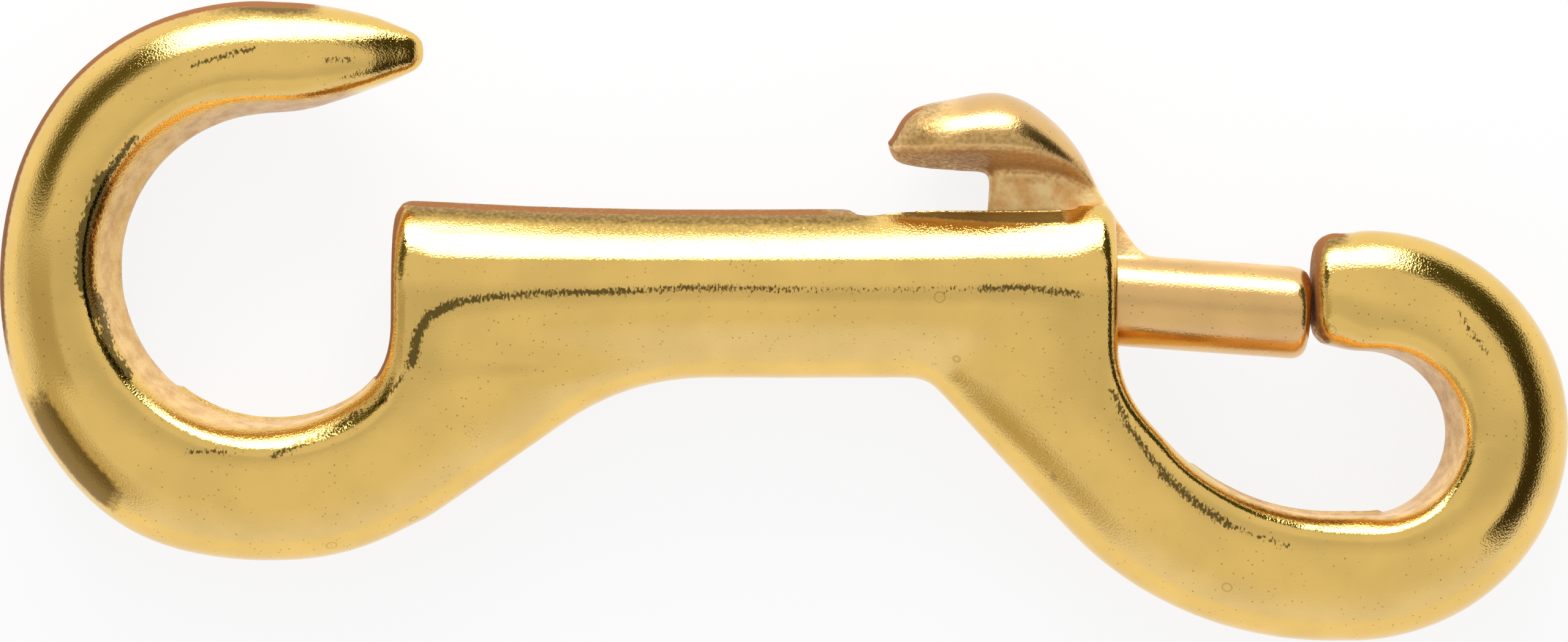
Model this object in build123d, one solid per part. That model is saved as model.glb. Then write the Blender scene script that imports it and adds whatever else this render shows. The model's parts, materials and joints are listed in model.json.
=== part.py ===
from build123d import *
from math import acos, ceil, cos, degrees, pi, radians, sin, sqrt, tan
import os

# Bolt snap: a solid brass snap for a rope or a strap, lying on its side.
# Left is a rigid open hook with a pointed tip, then comes the barrel, and right is a
# hook that a spring bolt closes. A thumb lever on the bolt runs in a slot in the barrel.
#
# Millimetres. The snap is drawn with its origin on the barrel's axis at the barrel's
# left end face: +X runs along the barrel, +Y is the lever's side and +Z is the flat
# side that faces up. It is cast in two halves that meet in the plane Z = 0. At the end
# everything moves so that the origin is under the middle, at the lowest point.

# Barrel
barrel_length = 50.3
barrel_half_height = 5.82       # axis to the lower edge
barrel_rise_left = 6.65         # axis to the upper edge, at the left end,
barrel_rise_waist = 5.95        # in the middle, where it is a little slimmer,
barrel_rise_mouth = 6.85        # and at the mouth
body_thickness = 10.6
parting_land = 0.1              # half width of the flat band left at the parting plane
rim_radius = 1.3                # rounding of the inner edges and of both barrel ends
hook_fall = 0.87                # share of a hook's width, past that rounding, that falls

# Open hook, its eye measured from the barrel's left end
open_eye_x = -8.2
open_eye_y = 1.9
open_eye_radius = 10.7
crook_radius = 5.6              # from the eye up into the barrel's end face
open_neck_width = 9.7
open_neck_angle = 35            # slope of the lower edge towards the barrel
open_neck_blend = 17.0
open_belly_width = 10.25        # the hook is widest under its eye,
open_side_width = 8.55          # slims down round the far side
open_top_width = 7.8           # and again above the eye, where the point starts
open_side_half = 4.9            # half thickness at the far side
open_top_half = 4.4             # and above the eye
crown_inset = 2.2               # inner edges to the highest line of the top
crown_blend = 9.8               # that line's long bend on to the barrel's axis
mouth_crown_blend = 3.0         # and its short bend off it at the mouth
crown_drop = 0.3                # that line under the barrel's axis
crown_lead = 0.08               # middle of the fall's ellipse inside it, by the run
tip_length = 10.4               # from the middle of the eye's top to the point
tip_back_radius = 24.0          # outer edge of the point
tip_facet_start = 2.1
tip_facet_angle = 22            # inner edge of the point rises at this angle
tip_end_half = 1.15
tip_draft = 12
tip_taper = 1.6                 # the point thins later than it narrows
tip_inner_share = 0.25          # its inner rounding at the very end, by its width
tip_end_rounding = 0.85

# Bolt hook, its eye measured from the mouth
bolt_eye_x = 17.3
bolt_eye_y = -9.65
bolt_eye_radius = 5.7
bolt_hook_width = 8.8           # under the eye, slimming down to the far side
bolt_side_width = 8.6
bolt_neck_width = 9.15
bolt_neck_angle = 47
bolt_neck_blend = 2.6
mouth_drop = 6.5                # axis down to where the mouth face turns into the neck
mouth_blend = 8.0
eye_floor_blend = 16.0
hook_floor_blend = 25.0
bolt_side_half = 4.75           # half thickness at the far side of the hook
nose_half = 3.9                 # and at the nose
nose_width = 7.9
nose_lift = 0.35                # nose's inner edge above the top of the eye
nose_rounding = 1.5
nose_draft = 2
nose_fall = 0.75
nose_inner_share = 0.28

# Bolt, bore, slot and lever
bolt_diameter = 6.45
bolt_reach = 13.4               # bolt face in front of the mouth when closed
bolt_length = 25.0
bolt_edge_radius = 1.0
bolt_fit = 0.2                  # radial clearance in the bore
nose_gap = 0.4                  # bolt face to nose face when closed
bolt_axis_drop = 0.35           # bolt's axis under the barrel's axis, at the mouth
bolt_tilt = 4.1                 # the bore runs down towards the nose
bolt_travel = 8.0
bore_depth = 26.0
web_thickness = 2.5
web_fit = 0.25                  # web to slot, on each side
web_back = 9.3                  # web's rear edge, behind the mouth
web_foot = 1.85                 # web's sloping front edge meets the bolt past the mouth
web_slope = 51                  # slope of that edge
web_foot_blend = 3.0
web_sink = 0.3                  # the web's foot lies this far inside the bolt
slot_end_gap = 1.0
slot_relief_length = 13.5       # cast hollow along each side of the slot
slot_relief_depth = 0.15
slot_relief_angle = 29
slot_relief_centre = 9.3        # behind the mouth

# Thumb cap, measured from the bolt's axis and from the web's rear edge
cap_underside = 8.15
cap_overhang = 7.1              # cap's end, behind the web
cap_rim_height = 1.85           # middle of the underside up to the rim
cap_dome_height = 3.65
cap_half_width = 4.7

# Spring
spring_wire = 0.8
spring_turns = 7
spring_seat_gap = 0.1
spring_bore_gap = 0.3

# Sizes that follow
half_thick = body_thickness / 2
bore_radius = bolt_diameter / 2 + bolt_fit
slot_width = web_thickness + 2 * web_fit
web_half = web_thickness / 2
cutter_margin = 2.0             # cutters reach this far past what they cut
station_spacing = 1.7           # between the lofts' sections along the lower edge
open_eye = Vector(open_eye_x, open_eye_y)
bolt_eye = Vector(barrel_length + bolt_eye_x, bolt_eye_y)
mouth = Vector(barrel_length, -bolt_axis_drop)
bolt_axis = Vector(cos(radians(bolt_tilt)), -sin(radians(bolt_tilt)))
crook_centre = Vector(
    -crook_radius,
    open_eye_y - ((open_eye_radius - crook_radius) ** 2 - (crook_radius + open_eye_x) ** 2) ** 0.5,
)
# the crook starts where its arc touches the eye's circle from inside
crook_start = -degrees(
    acos((-crook_radius - open_eye_x) / (open_eye_radius - crook_radius))
)


def polar(centre, radius, angle):
    """The point at an angle, in degrees, on a circle."""
    return centre + Vector(cos(radians(angle)), sin(radians(angle))) * radius


def on_bolt(distance, offset=0.0):
    """A point measured along the bolt's axis from the mouth, and across it."""
    return mouth + bolt_axis * distance + Vector(-bolt_axis.Y, bolt_axis.X) * offset


def bolt_plane(distance):
    """A plane across the bolt's axis, at a distance from the mouth."""
    return Plane(origin=on_bolt(distance), x_dir=(0, 0, 1), z_dir=bolt_axis)


def inner_outline():
    """Inner edges of the two hooks where they meet the barrel, as two runs."""
    left = [CenterArc(crook_centre, crook_radius, crook_start, -crook_start)]
    left.append(Line(left[0] @ 1, (0, 0)))
    floor = bolt_eye.Y - bolt_eye_radius
    neck_run = (-mouth_drop - floor) / tan(radians(bolt_neck_angle))
    right = [
        FilletPolyline(
            (barrel_length, 0),
            (barrel_length, -mouth_drop),
            (barrel_length + neck_run, floor),
            (bolt_eye.X, floor),
            radius=(mouth_blend, eye_floor_blend),
        )
    ]
    return left, right


def outer_outline(margin=0.0):
    """Lower edge from the open hook along the barrel to the bolt hook."""
    outer_radius = open_eye_radius + open_neck_width + margin
    neck_start = open_neck_angle - 90
    arc = CenterArc(open_eye, outer_radius, crook_start, neck_start - crook_start)
    leave = polar(open_eye, outer_radius, neck_start)
    low = -barrel_half_height - margin
    rise = (low - leave.Y) / tan(radians(open_neck_angle))
    # the right neck's lower edge runs parallel to its upper one
    slope = radians(bolt_neck_angle)
    lower = bolt_eye.Y - bolt_eye_radius - bolt_hook_width - margin
    across = -mouth_drop - (bolt_neck_width + margin) / cos(slope)
    run = FilletPolyline(
        leave,
        (leave.X + rise, low),
        (barrel_length + (across - low) / tan(slope), low),
        (barrel_length + (across - lower) / tan(slope), lower),
        (bolt_eye.X, lower),
        radius=(open_neck_blend, bolt_neck_blend, hook_floor_blend),
    )
    return [arc] + list(run.edges())


def crown_line():
    """The highest line of the top: a little inside the open hook's inner edge, then
    just under the barrel's axis, then a little inside the bolt hook's inner edge."""
    low = crook_centre.Y
    bend = crown_inset + crown_blend
    floor = bolt_eye.Y - bolt_eye_radius - crown_inset
    slope = radians(bolt_neck_angle)
    right = barrel_length - crown_inset
    corner = -mouth_drop - crown_inset * tan((pi / 2 - slope) / 2)
    run = FilletPolyline(
        (bend, -crown_drop),
        (right, -crown_drop),
        (right, corner),
        (right + (corner - floor) / tan(slope), floor),
        (bolt_eye.X, floor),
        radius=(mouth_crown_blend, mouth_blend, eye_floor_blend + crown_inset),
    )
    return Wire([
        CenterArc(crook_centre, crook_radius + crown_inset, crook_start, -crook_start),
        EllipticalCenterArc((bend, low), crown_blend, -crown_drop - low, 180, arc_size=-90),
        *run.edges(),
    ])


def crown_point(crown, foot, along):
    """Where the line square across the outline at its foot meets the crown line."""
    near, far = 0.0, 1.0
    for _ in range(40):
        place = (near + far) / 2
        if (crown @ place - foot).dot(along) > 0:
            far = place
        else:
            near = place
    return crown @ near


def fall_arc(start, run, low, height, whole=False):
    """The fall of a side from the crown line, over a run, down to the parting plane.

    It is a quarter ellipse that ends upright. Its middle lies a little inside the crown
    line, so it leaves the flat part at a slight angle; the whole of it begins there.
    """
    lead = crown_lead * run
    wide = run + lead
    high = height / sqrt(1 - (lead / wide) ** 2)
    turn = 90 if whole else degrees(acos(lead / wide))
    return EllipticalCenterArc((start - lead, low), wide, high, turn, arc_size=-turn)


def outside_section(run):
    """What is cut away outside the falls of the top and bottom, from the crown line out."""
    fall = fall_arc(0, run, parting_land, half_thick - parting_land, whole=True)
    above = half_thick + cutter_margin
    outside = run + cutter_margin
    rest = Polyline(fall @ 0, ((fall @ 0).X, above), (outside, above), (outside, 0))
    upper = [fall, rest, Line(fall @ 1, (run, 0))]
    return make_face(upper + [mirror(line, Plane.XZ) for line in upper])


def outer_cut(lower):
    """Everything outside the falls, through sections square to the lower edge."""
    crown = crown_line()
    stations = []
    for edge in lower:
        steps = ceil(edge.length / station_spacing)
        stations += [(edge @ (step / steps), edge % (step / steps)) for step in range(steps)]
    stations.append((lower[-1] @ 1, lower[-1] % 1))
    sections = []
    for foot, along in stations:
        top = crown_point(crown, foot, along)
        plane = Plane(top, x_dir=foot - top, z_dir=along)
        sections.append(plane * outside_section((foot - top).length))
    return loft(sections)


def middle_block():
    """Barrel and both necks, crowned all over, with the inner edges rounded."""
    left, right = inner_outline()
    outside = outer_outline(cutter_margin / 2)
    seams = [
        Line((0, 0), (barrel_length, 0)),
        Line(right[-1] @ 1, outside[-1] @ 1),
        Line(left[0] @ 0, outside[0] @ 0),
    ]
    plate = extrude(make_face(left + right + outside + seams), half_thick, both=True)
    sections = [
        Plane((barrel_length * place, 0, 0), x_dir=(0, 1, 0), z_dir=(1, 0, 0))
        * half_ellipse(barrel_rise(place), half_thick)
        for place in (0, 0.25, 0.5, 0.75, 1)
    ]
    block = plate + loft(sections) - outer_cut(outer_outline())
    inner_edges = [
        e for e in block.edges()
        if abs(abs((e @ 0.5).Z) - half_thick) < 0.01 and touches(e, left + right)
    ]
    inner_edges += [
        e for e in block.edges()
        if (e @ 0.5).Y > half_thick / 2
        and min((e @ 0.5).X, barrel_length - (e @ 0.5).X) < 0.01
    ]
    return fillet(inner_edges, rim_radius)


def touches(edge, outline):
    """Whether an edge of the solid lies over one of the outline's edges."""
    middle = edge @ 0.5
    foot = Vertex(middle.X, middle.Y, 0)
    return any(line.distance_to(foot) < 0.01 for line in outline)


def barrel_rise(place):
    """Height of the barrel's upper edge, a shallow curve through the three sizes."""
    ends = barrel_rise_left + (barrel_rise_mouth - barrel_rise_left) * place
    sag = (barrel_rise_left + barrel_rise_mouth) / 2 - barrel_rise_waist
    return ends - sag * 4 * place * (1 - place)


def half_ellipse(rise, half_width):
    arc = EllipticalCenterArc((0, 0), rise, half_width, -90, arc_size=180)
    return make_face([arc, Line(arc @ 1, arc @ 0)])


def hook_section(width, half_height, draft, fall_share, inner_radius):
    """Section across a hook, from its inner edge (0) to its outer edge (width).

    The inner wall leans back from the parting plane by the draft angle and its edge is
    rounded. Over a share of what is left the outer side falls as a quarter ellipse.
    """
    lean = radians(draft)
    corner = Vector(half_height * tan(lean), half_height)
    cut = inner_radius / tan((pi / 2 + lean) / 2)
    wall = corner - Vector(sin(lean), cos(lean)) * cut
    flat = corner + Vector(cut, 0)
    land = parting_land * half_height / half_thick
    run = fall_share * (width - flat.X)
    fall = fall_arc(width - run, run, land, half_height - land)
    upper = [
        Line((0, 0), wall),
        TangentArc(wall, flat, tangent=(sin(lean), cos(lean))),
        Line(flat, fall @ 0),
        fall,
        Line(fall @ 1, (width, 0)),
    ]
    return make_face(upper + [mirror(line, Plane.XZ) for line in upper])


def end_station(base, turn, share, width, half_height, draft, fall_share, inner_radius):
    """A section across the barrel's direction, drawn in to a share of its size."""
    section = hook_section(
        width * share, half_height * share, draft, fall_share, inner_radius * share
    )
    low = base + Vector(0, width * (1 - share) / 2)
    return Plane(low, x_dir=(0, 1, 0), z_dir=(turn, 0, 0)) * section


def rounded_end(base, turn, radius, *sizes):
    """A quarter round that closes a hook's end, in steps from the full section."""
    depth = radius / min(sizes[0] / 2, sizes[1])
    steps = [radians(angle) for angle in range(0, 91, 15)]
    return loft([
        end_station(
            base + Vector(turn * radius * sin(step), 0), turn,
            1 - depth * (1 - cos(step)), *sizes,
        )
        for step in steps
    ])


def row_at(rows, place):
    """Sizes at a place between the rows, on smooth curves through the rows' sizes."""
    after = next(i for i in range(1, len(rows)) if place <= rows[i][0] + 1e-6)
    low, high = rows[after - 1], rows[after]
    before, behind = rows[max(after - 2, 0)], rows[min(after + 1, len(rows) - 1)]
    span = high[0] - low[0]
    t = (place - low[0]) / span
    sizes = []
    for a, b, c, d in list(zip(before, low, high, behind))[1:]:
        slope_low = (c - a) / (high[0] - before[0]) * span
        slope_high = (d - b) / (behind[0] - low[0]) * span
        sizes.append(
            b + slope_low * t
            + (3 * (c - b) - 2 * slope_low - slope_high) * t**2
            + (2 * (b - c) + slope_low + slope_high) * t**3
        )
    return sizes


def ring(centre, radius, turn, rows, steps):
    """Evenly spaced sections round an eye, with sizes taken between the rows.

    A row is the angle turned from straight below the eye, then the width, the half
    thickness, the draft and the share of the outer fall.
    """
    first, last = rows[0][0], rows[-1][0]
    stations = []
    for step in range(steps + 1):
        turned = first + (last - first) * step / steps
        width, half, draft, fall_share = row_at(rows, turned)
        ray = Vector(sin(radians(turned)) * turn, -cos(radians(turned)))
        heading = Vector(-ray.Y, ray.X) * turn
        section = hook_section(width, half, draft, fall_share, rim_radius)
        stations.append(Plane(centre + ray * radius, x_dir=ray, z_dir=heading) * section)
    return loft(stations)


def open_hook():
    """The open hook, from the neck clockwise round its eye and out to the point."""
    neck = -(crook_start + 90)
    rows = (
        (neck, open_neck_width, half_thick, 0, block_fall(open_neck_width)),
        (5, open_neck_width + 0.1, half_thick, 6, hook_fall),
        (30, open_belly_width, half_thick - 0.1, 13, hook_fall),
        (90, open_side_width, open_side_half, 18, hook_fall),
        (140, open_side_width + 0.1, open_top_half + 0.2, 17, hook_fall),
        (180, open_top_width, open_top_half, tip_draft, hook_fall),
    )
    around = ring(open_eye, open_eye_radius, -1, rows, 14)
    top = open_eye + Vector(0, open_eye_radius)
    point = []
    steps = 8
    for step in range(steps + 1):
        share = step / steps
        along = (tip_length - tip_end_rounding) * share
        rise = facet_rise(along)
        width = open_top_width - along**2 / (2 * tip_back_radius) - rise
        half = tip_end_half + (open_top_half - tip_end_half) * (1 - share**tip_taper)
        inner = rim_radius + (width * tip_inner_share - rim_radius) * share
        sizes = (width, half, tip_draft * (1 - share), hook_fall, inner)
        base = top + Vector(along, rise)
        point.append(end_station(base, 1, 1, *sizes))
    return around + loft(point) + rounded_end(base, 1, tip_end_rounding, *sizes)


def block_fall(width):
    """Share of a neck's width that falls where it meets the middle block."""
    return (width - crown_inset) / (width - rim_radius)


def facet_rise(along):
    """Height of the point's inner edge, level at first and then a slope, softly joined."""
    past = along - tip_facet_start
    soft = tip_facet_start
    level = (past + sqrt(past**2 + soft**2)) / 2 - (sqrt(2) - 1) * soft / 2
    return level * tan(radians(tip_facet_angle))


def bolt_hook():
    """The bolt's hook, from the neck anticlockwise round its eye and back to the nose."""
    side = bolt_side_width
    top_width = side - 0.15
    top_half = nose_half + 0.1
    rows = (
        (0, bolt_hook_width, half_thick, 0, block_fall(bolt_hook_width)),
        (20, side - 0.05, half_thick - 0.05, 4, hook_fall),
        (50, side - 0.1, half_thick - 0.2, 10, hook_fall),
        (90, side, bolt_side_half, 15, hook_fall),
        (135, side, bolt_side_half - 0.3, 12, hook_fall),
        (180, top_width, top_half, nose_draft, nose_fall),
    )
    around = ring(bolt_eye, bolt_eye_radius, 1, rows, 12)
    top = bolt_eye + Vector(0, bolt_eye_radius)
    nose_x = on_bolt(bolt_reach + nose_gap).X + nose_rounding - top.X
    nose = []
    for share in (0, 0.5, 1.0):
        wide = nose_width + (top_width - nose_width) * (1 - share)
        half = nose_half + (top_half - nose_half) * (1 - share)
        inner = rim_radius + (wide * nose_inner_share - rim_radius) * share
        sizes = (wide, half, nose_draft * (1 - share), nose_fall, inner)
        base = top + Vector(nose_x * share, nose_lift * share**2)
        nose.append(end_station(base, -1, 1, *sizes))
    return around + loft(nose) + rounded_end(base, -1, nose_rounding, *sizes)


def bolt_side(points, half_width):
    """A flat plate in the middle plane, drawn by distance along and height over the bolt."""
    corners = [on_bolt(*point) for point in points]
    return extrude(make_face(Polyline(*corners, close=True)), half_width, both=True)


def bore_and_slot():
    """Everything cut from the barrel: the bore, the lever's slot and its two hollows."""
    bore = extrude(bolt_plane(-bore_depth) * Circle(bore_radius), bore_depth + cutter_margin)
    back = -(web_back + bolt_travel + slot_end_gap)
    front = cutter_margin
    top = 2 * barrel_rise_mouth
    slot = bolt_side([(back, 0), (front, 0), (front, top), (back, top)], slot_width / 2)
    return bore + slot + slot_hollow(1) + slot_hollow(-1)


def slot_hollow(side):
    """A shallow cast hollow beside the slot, a slice of a large cylinder lying across."""
    lean = radians(slot_relief_angle)
    rise = barrel_rise(1 - slot_relief_centre / barrel_length)
    reach = ((rise * cos(lean)) ** 2 + (half_thick * sin(lean)) ** 2) ** 0.5
    across = Vector(0, -sin(lean) * side, cos(lean))
    touch = Vector(
        barrel_length - slot_relief_centre,
        rise**2 * cos(lean) / reach,
        side * half_thick**2 * sin(lean) / reach,
    )
    half = slot_relief_length / 2
    arc = ThreePointArc((-half, 0), (0, -slot_relief_depth), (half, 0))
    lid = Polyline(arc @ 1, (half, half_thick / 2), (-half, half_thick / 2), arc @ 0)
    plane = Plane(touch - across * half_thick / 2, x_dir=(1, 0, 0), z_dir=across)
    return extrude(plane * make_face([arc, lid]), half_thick)


def snap_body():
    body = middle_block() + open_hook() + bolt_hook()
    return body - bore_and_slot()


def cap_section(half_width, dome, underside, heading, along, height):
    """Section across the thumb cap: a dome over a rim, and a shallow keel under it."""
    arc = EllipticalCenterArc((0, 0), half_width, dome, 0, arc_size=180)
    rim = 0.08 * half_width
    under = Polyline(
        arc @ 1, (-half_width + rim / 4, -rim), (0, -underside),
        (half_width - rim / 4, -rim), arc @ 0,
    )
    face = make_face([arc, under])
    angle = radians(heading - bolt_tilt)
    facing = Vector(cos(angle), sin(angle))
    return Plane(on_bolt(along, height), x_dir=(0, 0, -1), z_dir=facing) * face


def thumb_cap():
    """The cap the thumb pushes: wide and domed at the back, it thins down the front."""
    rim = cap_underside + cap_rim_height
    back = -web_back - cap_overhang
    wide, dome, keel = cap_half_width, cap_dome_height, cap_rim_height
    # place along the bolt, rim height, heading, half width, dome, depth of the keel
    rows = (
        (back + 0.05, rim - 0.95, 20, wide * 0.25, dome * 0.25, keel * 0.3),
        (back + 1.0, rim - 0.75, 14, wide * 0.56, dome * 0.55, keel * 0.58),
        (back + 2.9, rim - 0.4, 9, wide * 0.85, dome * 0.86, keel * 0.83),
        (back + 5.9, rim - 0.05, 4, wide, dome, keel),
        (back + 8.9, rim + 0.0, -3, wide * 0.95, dome * 0.93, keel * 0.95),
        (back + 11.2, rim - 0.4, -25, wide * 0.78, dome * 0.54, keel * 0.72),
        (back + 12.9, rim - 1.15, -42, wide * 0.57, dome * 0.27, keel * 0.45),
        (back + 14.1, rim - 2.05, -48, wide * 0.4, dome * 0.09, keel * 0.25),
        (back + 15.7, rim - 3.85, -50, web_half + 0.02, 0.1, keel * 0.15),
    )
    return loft([
        cap_section(half, top, under, heading, along, height)
        for along, height, heading, half, top, under in rows
    ])


def bolt():
    """Bolt, web and thumb cap, cast in one piece."""
    rod = extrude(bolt_plane(bolt_reach - bolt_length) * Circle(bolt_diameter / 2), bolt_length)
    face = rod.edges().sort_by(lambda e: (e.center() - mouth).dot(bolt_axis))[-1]
    rod = fillet(face, bolt_edge_radius)
    foot = bolt_diameter / 2 - web_sink
    top = cap_underside + cap_rim_height
    corners = [
        (bolt_reach / 2, 0),
        (bolt_reach / 2, foot),
        (web_foot, foot),
        (web_foot - (top - foot) / tan(radians(web_slope)), top),
        (-web_back, top),
        (-web_back, 0),
    ]
    web = bolt_side(corners, web_half)
    hollow = web.edges().filter_by(Axis.Z).sort_by_distance(on_bolt(web_foot, foot))[0]
    return rod + fillet(hollow, web_foot_blend) + thumb_cap()


def spring():
    """Compression spring between the bore's bottom and the bolt's inner end."""
    space = bolt_reach - bolt_length + bore_depth
    length = space - spring_wire - 2 * spring_seat_gap
    coil_radius = bore_radius - spring_bore_gap - spring_wire / 2
    start = on_bolt(-bore_depth + spring_seat_gap + spring_wire / 2)
    path = Helix(length / spring_turns, length, coil_radius, start, bolt_axis)
    wire = Plane(path @ 0, z_dir=path % 0) * Circle(spring_wire / 2)
    return sweep(wire, path=path, is_frenet=True)


pieces = {"snap_body": snap_body(), "bolt": bolt(), "spring": spring()}
box = Compound(list(pieces.values())).bounding_box()
stand_at = Pos(-box.center().X, -box.center().Y, -box.min.Z)

os.makedirs("parts", exist_ok=True)
for name, piece in pieces.items():
    export_step(stand_at * piece, f"parts/{name}.step")
    print(name, piece.is_valid, round(piece.volume, 1), len(piece.solids()))
print("size", box.size)
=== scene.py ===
import json
import math

import bmesh
import bpy
import numpy as np
from mathutils import Matrix, Vector, noise


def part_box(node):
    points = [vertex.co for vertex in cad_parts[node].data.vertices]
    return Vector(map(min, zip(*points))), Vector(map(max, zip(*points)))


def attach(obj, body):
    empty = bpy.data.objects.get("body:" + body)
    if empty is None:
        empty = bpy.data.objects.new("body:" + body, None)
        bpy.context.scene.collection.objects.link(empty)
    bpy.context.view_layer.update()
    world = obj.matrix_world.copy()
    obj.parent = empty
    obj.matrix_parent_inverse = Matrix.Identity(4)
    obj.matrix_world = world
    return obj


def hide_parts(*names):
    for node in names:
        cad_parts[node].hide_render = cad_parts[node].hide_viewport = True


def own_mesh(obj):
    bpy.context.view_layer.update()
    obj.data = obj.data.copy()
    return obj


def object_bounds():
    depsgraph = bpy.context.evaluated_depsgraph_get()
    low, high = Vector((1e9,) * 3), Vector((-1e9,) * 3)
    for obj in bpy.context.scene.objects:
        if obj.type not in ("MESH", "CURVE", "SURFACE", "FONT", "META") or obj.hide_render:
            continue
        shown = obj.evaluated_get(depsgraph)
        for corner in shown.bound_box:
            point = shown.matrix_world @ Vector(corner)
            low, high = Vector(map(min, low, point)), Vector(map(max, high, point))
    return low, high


# A solid brass bolt snap lying on its side. The frame gives every place and size, and
# this script gives the snap its looks. Metres, +Z up, the camera looks straight down.

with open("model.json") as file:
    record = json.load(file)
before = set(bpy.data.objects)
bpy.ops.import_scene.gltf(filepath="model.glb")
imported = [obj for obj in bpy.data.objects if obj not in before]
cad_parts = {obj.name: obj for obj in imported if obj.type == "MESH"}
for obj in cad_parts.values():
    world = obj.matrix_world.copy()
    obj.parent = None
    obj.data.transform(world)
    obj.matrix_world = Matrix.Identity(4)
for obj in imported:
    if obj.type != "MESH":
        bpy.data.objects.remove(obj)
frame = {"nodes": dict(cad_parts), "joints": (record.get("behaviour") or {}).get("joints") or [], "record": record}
cad_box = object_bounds()

MM = 0.001
low, high = (Vector(corner) for corner in cad_box)
middle = (low + high) / 2

# Eyes of the two hooks, from the record
mounts = {mount["name"]: Vector(mount["pos_m"]) for mount in frame["record"]["mounts"]}
open_eye = mounts["open_hook"]
bolt_eye = mounts["bolt_hook"]

# The bolt's way back into the barrel, from its joint, and the side its thumb cap is on
slide = frame["joints"][0]
draw_back = Vector(slide["axis"]).normalized()
thumb_side = Vector((-draw_back.y, draw_back.x, 0)) * (-1 if draw_back.x < 0 else 1)

spring_low, spring_high = (Vector(corner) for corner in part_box("spring"))
bore_middle = (spring_low + spring_high) / 2
crown_y = 2.05 * MM     # crown line of the barrel
half_thick = 5.3 * MM   # from the parting plane to either crown


# ---------------------------------------------------------------- small helpers

def linear(hex_colour):
    """An sRGB hex colour as the linear values that shaders take."""
    channels = [int(hex_colour[i:i + 2], 16) / 255 for i in (1, 3, 5)]
    toned = [c / 12.92 if c <= 0.04045 else ((c + 0.055) / 1.055) ** 2.4 for c in channels]
    return (*toned, 1.0)


def step(values, start, end):
    """0 below start, 1 above end, and a smooth rise between them."""
    t = np.clip((values - start) / (end - start), 0, 1)
    return t * t * (3 - 2 * t)


def band(values, start, full, last, end):
    """0 up to start, 1 from full to last, and 0 again from end on."""
    return step(values, start, full) * (1 - step(values, last, end))


def link(obj):
    bpy.context.scene.collection.objects.link(obj)
    return obj


def places(mesh):
    """Every vertex's place and normal."""
    count = len(mesh.vertices)
    at, facing = np.empty(count * 3), np.empty(count * 3)
    mesh.vertices.foreach_get("co", at)
    mesh.vertices.foreach_get("normal", facing)
    return at.reshape(-1, 3), facing.reshape(-1, 3)


def move_to(piece, at):
    """Puts every vertex of a piece at a new place."""
    piece.data.vertices.foreach_set("co", at.ravel())
    piece.data.update()


def mark(mesh, name, amount):
    """Stores how far a finish covers each vertex, from 0 to 1."""
    layer = mesh.attributes.new(name, "FLOAT", "POINT")
    layer.data.foreach_set("value", np.clip(amount, 0, 1).astype(np.float32))


# ---------------------------------------------------------------- metals

# Sockets that share a name go by number. Map Range: 0 the value, 1 and 2 the range it comes
# from, 3 and 4 the range it goes to. Mix: 0 the share, 2 and 3 numbers, 6 and 7 colours,
# with the mixed colour at output 2. Math: its numbers in order.
def add(tree, kind, inputs=None, **settings):
    """Adds a node. An input takes a value, a node, or a node with its output's name."""
    made = tree.nodes.new(kind)
    for name, value in settings.items():
        setattr(made, name, value)
    for socket, value in (inputs or {}).items():
        if isinstance(value, bpy.types.Node):
            value = (value, 0)
        if isinstance(value, tuple) and isinstance(value[0], bpy.types.Node):
            tree.links.new(value[0].outputs[value[1]], made.inputs[socket])
        else:
            made.inputs[socket].default_value = value
    return made


def blank_material(name):
    material = bpy.data.materials.new(name)
    material.use_nodes = True
    material.node_tree.nodes.clear()
    return material, material.node_tree


# Each brass as it is bright and where thin tarnish lies on it
POLISHED = ("#F4CB73", "#EBC46F")
SATIN = ("#EABE7B", "#E2B777")
# Bare cast skin, in its darker and its paler streaks
BODY_SKIN = ("#CF9E55", "#EBC27C")
BOLT_SKIN = ("#E8B168", "#FFDD9A")
PIT_BROWN = "#8A6428"
# Olive for the painted dark reflection on faces turned toward the back; the slot's sunk faces get it too
OLIVE_DARK_REFLECTION = "#8C6E36"
# Brown for painted shade and painted dark reflection on rims, on the nose's face and under the cap
SHADE_BROWN = "#905822"
# Dark olive brown for the painted reflection lines along the crowns
CROWN_REFLECTION_BROWN = "#745F30"


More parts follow.
